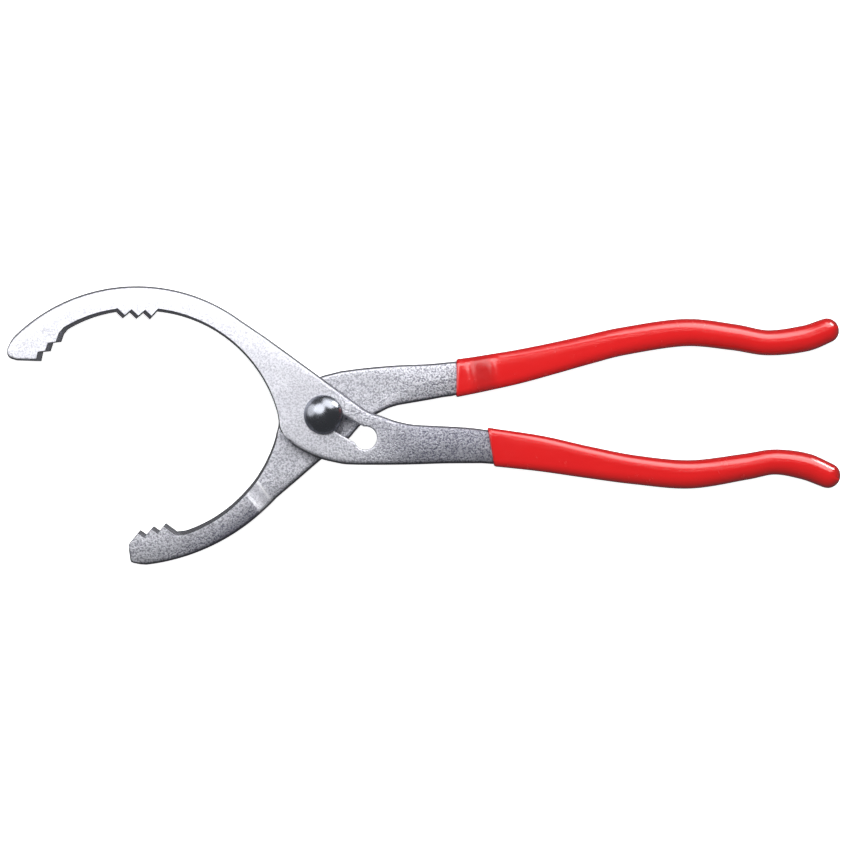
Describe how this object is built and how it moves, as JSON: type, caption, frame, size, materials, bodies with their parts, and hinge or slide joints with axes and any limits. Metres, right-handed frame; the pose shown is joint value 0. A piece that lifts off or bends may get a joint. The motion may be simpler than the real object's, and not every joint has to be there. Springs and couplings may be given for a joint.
{
  "type": "oil filter wrench",
  "caption": "Slip-joint oil filter pliers: a long and a short curved jaw with teeth, a slotted pivot with a dome-headed bolt, and two hooked handles in dipped grips.",
  "frame": {"origin": "on the pivot axis, at the flat end face of the pivot bolt, the lowest point of the tool as it lies", "axes": "+X along the tool towards the handles, +Y across it towards the long jaw's back, +Z through its thickness towards the bolt's dome head"},
  "size_m": [0.3039, 0.1013, 0.0225],
  "materials": {
    "plated_steel": "satin plated, blasted grain",
    "bright_steel": "polished",
    "zinc_steel": "zinc plated",
    "red_vinyl": "glossy dipped vinyl"
  },
  "bodies": {
    "front_arm": {"front_arm": "plated_steel", "front_grip": "red_vinyl"},
    "pivot": {"pivot_bolt": "bright_steel", "pivot_nut": "zinc_steel"},
    "rear_arm": {"rear_arm": "plated_steel", "rear_grip": "red_vinyl"}
  },
  "joints": [
    {"name": "pivot_slip", "type": "slide", "parent": "front_arm", "child": "pivot", "axis": [0.8729, -0.4879, 0], "range_m": [0, 0.0175]},
    {"name": "jaw_pivot", "type": "hinge", "parent": "pivot", "child": "rear_arm", "pos_m": [0, 0, 0.0086], "axis": [0, 0, 1], "range_deg": [-4, 50]}
  ]
}
